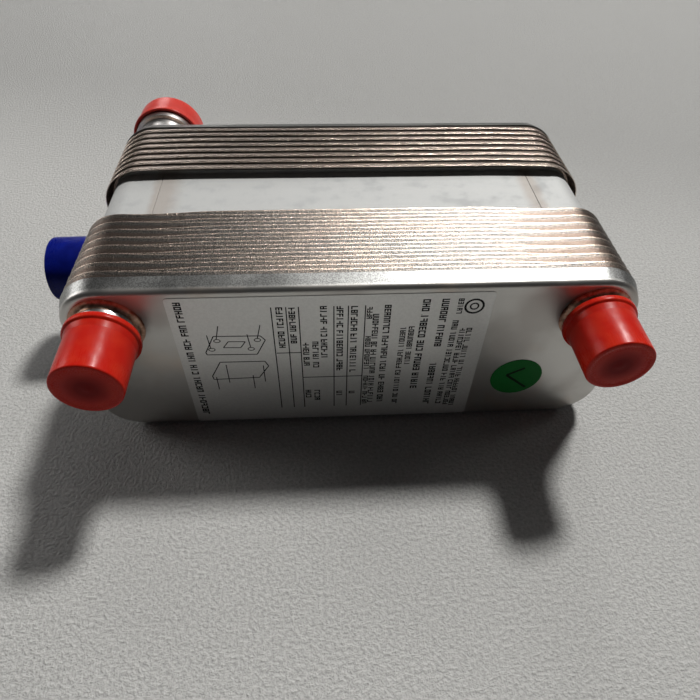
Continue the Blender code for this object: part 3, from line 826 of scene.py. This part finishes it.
def capPiece(cap, rim, end):
    radius, bead, hollow, mouth = cap["radius"], cap["bead"], cap["hollow"], cap["mouth"]
    floor = end - caps["wall"]
    dish = end - caps["recess"]
    outer = [
        (hollow + 0.25, rim + 0.5), (hollow + 0.5, rim), (bead, rim), (bead, rim + 2),
        ((radius + bead) / 2 - 0.2, rim + 2.6), (radius, rim + 5), (radius - 0.15, end), (mouth + 1.7, end),
        (mouth + 1.2, dish),
    ]
    line = [(0, floor), (hollow, floor)]
    line += eased(outer, [0.1, 0.6, 0.9, 0.5, 0.8, 0.8, 0.3, 0.3], 5)
    nub, proud = caps["nub"], dish + 0.1
    line += [(mouth + out, dish) for out in (0.5, -0.3, -1.2, -2.5)]
    line += [(mouth * 0.4, dish), (nub + 0.3, dish), (nub, proud), (0.3, proud), (0, proud)]
    piece = turn(line, 80, ring=False)
    # painted shade mask: darker in the middle of the closed end and on a band of the side over the length the
    # tube fills
    shade = []
    for vertex in piece.data.vertices:
        away = hypot(vertex.co.x, vertex.co.y) / mm
        height = vertex.co.z / mm
        onEnd = smooth(height, dish - 0.3, dish - 0.1)
        side = 0.25 * smooth(height, rim + 2, rim + 4) * (1 - smooth(height, end - 4, end - 2.5))
        shade.append(max(onEnd * (1 - smooth(away, mouth * 0.4, mouth + 0.4)), side * (away > radius - 1)))
    kept = piece.data.attributes.new("paintedMouthShade", "FLOAT", "POINT")
    kept.data.foreach_set("value", shade)
    return piece


capSeats = (
    ("redCapFrontLeft", "red_cap_front_left", "front", 0, "red"),
    ("redCapFrontRight", "red_cap_front_right", "front", 1, "red"),
    ("redCapRearUpper", "red_cap_rear_upper", "air", 2, "paleRed"),
    ("redCapRearLower", "red_cap_rear_lower", "air", 3, "red"),
    ("blueCapDrain", "blue_cap_drain", "drain", 4, "blue"),
)
for name, node, kind, placed, look in capSeats:
    x, y, z, facing = portSeats[placed][3:]
    low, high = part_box(node)
    if facing == "front":
        span = (faceY - high.y, faceY - low.y)
    elif facing == "rear":
        span = (low.y - rearFaceY, high.y - rearFaceY)
    else:
        span = (middleX + x * mm - high.x, middleX + x * mm - low.x)
    cap = seat(capPiece(caps[kind], span[0] / mm, span[1] / mm), x, y, z, facing)
    shadeByAngle(cap, 45)
    dress(cap, name, looks[look], node + "_body", [node])
print("caps moulded:", len(capSeats))


studs = {"radius": 4, "core": 3.35, "length": 20, "pitch": 1.25, "plainEnd": 3.5, "chamfer": 0.8}


def studProfile():
    line = [(0, -2), (studs["radius"], -2), (studs["radius"], studs["plainEnd"])]
    height = studs["plainEnd"]
    while height + studs["pitch"] < studs["length"] - studs["chamfer"]:
        height += studs["pitch"]
        line.append((studs["core"], height - 0.55 * studs["pitch"]))
        line += [(studs["radius"], height - 0.1 * studs["pitch"]), (studs["radius"], height)]
    line += [(studs["radius"] - studs["chamfer"], studs["length"]), (0, studs["length"])]
    return line


studMaster = turn(studProfile(), 48, ring=False)
for count, (x, z) in enumerate(studPlaces, 1):
    stud = seat(copyOf(studMaster, "stud"), x, depthAll, z, "rear")
    shadeByAngle(stud, 25)
    dress(stud, f"mountingStud{count}", looks["studs"], "root", [f"mounting_stud_{count}"])
bpy.data.objects.remove(studMaster)
print("studs threaded:", len(studPlaces))


# printed label and round sticker on the front cover

label = {
    "left": -64.6, "right": 47.8, "low": 2.8, "high": 71.7, "corner": 1.5,
    "back": 0.03, "front": 0.2, "ink": 0.02,
    # lines of small marks: x of the line, from z, to z, height of a mark
    "lines": (
        (41.2, 54.5, 8, 2.1), (38.7, 54.5, 8, 2.1), (36, 69, 61.5, 2.0), (35.5, 58.5, 7.5, 2.2),
        (30.6, 69, 43.3, 2.6), (30.3, 35.7, 8.6, 2.6), (24, 69, 18.7, 2.7), (20, 56, 34.7, 2.1),
        (17, 55.7, 10, 2.1), (10.8, 66.8, 10.4, 2.4), (6.8, 62.6, 11.5, 2.2),
        (4.5, 66, 59.5, 2.0), (4.5, 51.5, 32.5, 2.0), (4.5, 29.2, 10.8, 2.0),
        (-0.8, 66.6, 31.7, 2.4), (-0.8, 19.9, 16.8, 2.4), (-5.8, 66.7, 31.5, 2.4), (-5.8, 20.2, 16.6, 2.4),
        (-11.5, 66.9, 39.2, 2.4), (-14.7, 49.4, 34.6, 2.3), (-14.7, 21.2, 14.4, 2.3),
        (-18.2, 48.9, 34.8, 2.3), (-18.2, 21.4, 15.4, 2.3), (-22.4, 66.5, 47.2, 2.3),
        (-26.7, 66.8, 46.4, 2.4), (-60.5, 70, 5, 2.6),
    ),
    "rules": (3, -2.9, -7.9, -20, -24.3, -29.4), "ruleZ": (10.3, 66.8), "ruleWidth": 0.4,
    "columns": ((-8.5, 29.3, 23), (-24.5, 43.7, 9)), "ringsAt": (41, 65.2),
    "rings": ((6.4, 0.8, 28), (2.8, 0.6, 16)),  # size, pen, sides
    "stroke": 0.21,  # of a mark's height
}
drawing = {  # two outline plates with their ports and leader lines, all as (x, z)
    "plates": (
        ((-50.8, 53.4), (-34.2, 53.1), (-32.6, 50.9), (-36.2, 43.4), (-54.4, 43.8), (-54.7, 45)),
        ((-50.4, 39.5), (-33.8, 39.4), (-32.6, 36.7), (-36.7, 30.1), (-54.1, 29.6), (-54.4, 31.6)),
    ),
    "ports": ((-49.8, 51), (-52.3, 46.5), (-35.4, 51), (-38.1, 46.4)),
    "window": (
        ((-45.9, 50.5), (-39.8, 50.3)), ((-39.8, 50.3), (-41.8, 47.2)),
        ((-41.8, 47.2), (-48, 47.4)), ((-48, 47.4), (-45.9, 50.5)),
    ),
    "leaders": (
        ((-50, 51.6), (-48.4, 58.5)), ((-35.4, 51.6), (-33.8, 58.5)), ((-52.6, 47), (-53, 54)),
        ((-38.2, 47), (-38.8, 54)), ((-53, 31), (-53, 23.5)), ((-39, 31.5), (-39, 23.5)),
        ((-48.4, 38), (-48.4, 27.5)), ((-34.6, 37), (-34.6, 27.5)),
    ),
    "pen": 0.4, "finePen": 0.36, "portSize": (2.3, 1.6), "portPen": 0.34, "portSides": 14,
}


def film(low, high, corner):  # low and high are (x, z)
    back, front = unit(0, -label["back"], 0).y, unit(0, -label["front"], 0).y
    sheet = roundedSheet(unit(low[0], 0, low[1]), unit(high[0], 0, high[1]), back, corner, 8, (0, 0))
    editing(sheet, "FACE")
    bpy.ops.mesh.select_all(action="SELECT")
    bpy.ops.mesh.extrude_region_move(TRANSFORM_OT_translate={"value": (0, front - back, 0)})
    bpy.ops.mesh.select_all(action="SELECT")
    bpy.ops.mesh.normals_make_consistent(inside=False)
    pick(sheet)
    apply(sheet, "edges", "BEVEL", width=0.05 * mm, segments=2, limit_method="ANGLE", angle_limit=radians(60))
    firmEdges(sheet, 60)
    return sheet


def startPrint():
    pick()
    bpy.ops.mesh.primitive_plane_add(size=mm, location=unit(0, -label["front"], 0), rotation=(pi / 2, 0, 0))
    sheet = bpy.context.object
    settle(sheet)
    editing(sheet, "VERT")
    bpy.ops.mesh.select_all(action="SELECT")
    bpy.ops.mesh.delete(type="VERT")
    return sheet


def dab(x, z, wide, tall):  # one flat ink mark, wide along x and tall along z
    where = unit(x, -label["front"], z)
    bpy.ops.mesh.primitive_plane_add(size=wide * mm, location=where, rotation=(pi / 2, 0, 0))
    bpy.ops.transform.resize(value=(1, 1, tall / wide), center_override=where)


def inkLine(start, end, wide=0.3):  # a straight pen line between two (x, z) points
    run = Vector(end) - Vector(start)
    where = unit((start[0] + end[0]) / 2, -label["front"], (start[1] + end[1]) / 2)
    bpy.ops.mesh.primitive_plane_add(
        size=run.length * mm, location=where, rotation=(pi / 2, -atan2(run.y, run.x), 0)
    )
    across = Vector((-run.y, 0, run.x)).normalized()
    mesh = bpy.context.object
    bpy.ops.object.mode_set(mode="OBJECT")
    for vertex in mesh.data.vertices:
        if vertex.select:
            off = (vertex.co - where).dot(across)
            vertex.co -= across * (off - (wide * mm / 2 if off > 0 else -wide * mm / 2))
    bpy.ops.object.mode_set(mode="EDIT")


def mark(x, z, height, rng):  # a small made-up mark of two to four strokes, read along -z
    pen = height * label["stroke"]
    wide = height * 0.62
    stems = rng.choice(((0,), (0, 1), (0, 1), (1,), (0.5,)))
    bars = rng.choice(((0,), (1,), (0.5,), (0, 1), (0, 0.5), (0.5, 1), (0, 0.5, 1)))
    for stem in stems:
        dab(x, z - pen / 2 - stem * (wide - pen), height, pen)
    if stems == (0.5,):
        long = (wide - pen) / 2
        dab(x + (height - pen) / 2 * rng.choice((-1, 1)), z - long / 2 + pen * 0.2, pen, long - pen * 0.6)
        return
    start = pen * 1.02 if 0 in stems else 0
    end = wide - pen * 1.02 if 1 in stems else wide
    for bar in bars:
        dab(x - height / 2 + pen / 2 + bar * (height - pen), z - (start + end) / 2, pen, end - start)


def printLine(x, fromZ, toZ, height, rng):
    z = fromZ
    left = rng.randint(3, 8)
    while z - height * 0.6 > toZ:
        mark(x, z, height, rng)
        z -= height * 0.74
        left -= 1
        if left == 0:
            z -= height * 0.45
            left = rng.randint(2, 8)


def finishPrint(sheet, name, finish):
    bpy.ops.mesh.select_all(action="SELECT")
    bpy.ops.mesh.extrude_region_move(TRANSFORM_OT_translate={"value": (0, -label["ink"] * mm, 0)})
    bpy.ops.mesh.select_all(action="SELECT")
    bpy.ops.mesh.normals_make_consistent(inside=False)
    pick(sheet)
    return dress(sheet, name, finish)


def ringMark(x, z, across, tall, pen=0.3, sides=20):
    turns = [2 * pi * i / sides for i in range(sides)]
    points = [(x + across / 2 * cos(turn), z + tall / 2 * sin(turn)) for turn in turns]
    for i in range(sides):
        inkLine(points[i - 1], points[i], pen)


labelFilm = film((label["left"], label["low"]), (label["right"], label["high"]), label["corner"])
dress(labelFilm, "nameLabel", looks["label"], "root", ["name_label"])
rng = random.Random(7)
sheet = startPrint()
for line in label["lines"]:
    printLine(*line, rng)
low, high = label["ruleZ"]
for x in label["rules"]:
    dab(x, (low + high) / 2, label["ruleWidth"], high - low)
for x, z, wide in label["columns"]:
    dab(x, z, wide, label["ruleWidth"])
for across, pen, sides in label["rings"]:
    ringMark(*label["ringsAt"], across, across, pen, sides)
for outline in drawing["plates"]:
    for i in range(len(outline)):
        inkLine(outline[i - 1], outline[i], drawing["pen"])
for x, z in drawing["ports"]:
    ringMark(x, z, *drawing["portSize"], drawing["portPen"], drawing["portSides"])
for start, end in drawing["window"] + drawing["leaders"]:
    inkLine(start, end, drawing["finePen"])
finishPrint(sheet, "labelPrint", looks["ink"])

sticker = {"x": 65.2, "z": 25.6, "radius": 10.3, "tick": ((67.5, 31), (61, 27), (70.5, 19)), "pen": 1.1}
reach = sticker["radius"]
stickerLow = (sticker["x"] - reach, sticker["z"] - reach)
stickerHigh = (sticker["x"] + reach, sticker["z"] + reach)
stickerFilm = film(stickerLow, stickerHigh, reach - 0.01)
dress(stickerFilm, "inspectionSticker", looks["sticker"], "root", ["inspection_sticker"])
sheet = startPrint()
for start, end in zip(sticker["tick"], sticker["tick"][1:]):
    inkLine(start, end, sticker["pen"])
finishPrint(sheet, "stickerTick", looks["stickerInk"])
print("label and sticker printed")


# hidden pieces keep their shapes and get their finishes

for node, look in (
    ("front_inner_end_plate", "chamber"), ("rear_inner_end_plate", "chamber"), ("air_transfer_tube", "ports"),
    ("demister_pad", "wire"), ("demister_bracket", "chamber"),
):
    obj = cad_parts[node]
    obj.data.materials.clear()
    obj.data.materials.append(looks[look])
print("inner pieces finished")


# floor, light and camera

floorLook = {"colour": (0.43, 0.43, 0.42), "size": 8, "grain": 1.3}


def floorFinish():
    finish = Finish("paleFloor")
    pale = floorLook["colour"]
    grain = finish.cloud(floorLook["grain"], 3, 0.7)
    cloudy = finish.cloud(60, 2)
    flecks = finish.step(grain, 0.3, 0.7)
    colour = finish.mix([c * 0.78 for c in pale], [c * 1.2 for c in pale], flecks)
    colour = finish.mix(colour, [c * 0.9 for c in pale], cloudy * 0.5)
    # painted shade: the floor darkens towards the back and a little to the right, as the light falls off
    away = finish.step(finish.along("Y") + finish.along("X") * 0.3, 0.04, 0.26, 0.0, 0.55)
    colour = finish.mix(colour, [c * 0.45 for c in pale], away)
    return finish.coat(colour, 0.5, 0.0, [(grain, 1.1)], Specular_IOR_Level=0.25)


pick()
bpy.ops.mesh.primitive_plane_add(size=floorLook["size"], location=(0, 0, 0))
floor = bpy.context.object
floor.name = "floor"
floor.data.materials.append(floorFinish())

lights = {  # towards the lamp, how far, disc size, watts, colour
    "keyLamp": ((0.34, 0.41, 0.85), 3.0, 0.42, 104, (1.0, 0.985, 0.96)),
    "sideLamp": ((0.85, 0.25, 0.6), 3.0, 0.7, 4, (1.0, 0.985, 0.97)),
    "topPanel": ((0.22, 0.74, 0.64), 3.0, 0.5, 9, (1.0, 0.99, 0.98)),
    "leftPanel": ((-0.95, 0.35, 0.45), 3.0, 1.4, 24, (1.0, 0.98, 0.96)),
    "backPanel": ((-0.26, 0.88, 0.36), 3.0, 0.75, 8, (1.0, 0.99, 0.98)),
}
sky = (0.026, 0.026, 0.027)
for name, (towards, away, size, power, colour) in lights.items():
    bpy.ops.object.light_add(type="AREA", location=Vector(towards).normalized() * away)
    lamp = bpy.context.object
    lamp.name = name
    lamp.data.shape = "DISK"
    lamp.data.size = size
    lamp.data.energy = power
    lamp.data.color = colour
    lamp.rotation_euler = (-lamp.location).to_track_quat("-Z", "Y").to_euler()
world = bpy.data.worlds.new("dimRoom")
bpy.context.scene.world = world
world.use_nodes = True
world.node_tree.nodes["Background"].inputs["Color"].default_value = (*sky, 1)
world.node_tree.nodes["Background"].inputs["Strength"].default_value = 1.0
bpy.context.scene.view_settings.view_transform = "Standard"

camera = {"place": (-12.69, -140.8, 198.49), "turn": (42.44, -1.13, -3.13), "lens": 28.96, "sensor": 36}
bpy.ops.object.camera_add(location=unit(*camera["place"]), rotation=[radians(a) for a in camera["turn"]])
bpy.context.object.data.lens = camera["lens"]
bpy.context.object.data.sensor_width = camera["sensor"]
bpy.context.object.data.clip_start = 0.01
bpy.context.scene.camera = bpy.context.object
print("stage set")
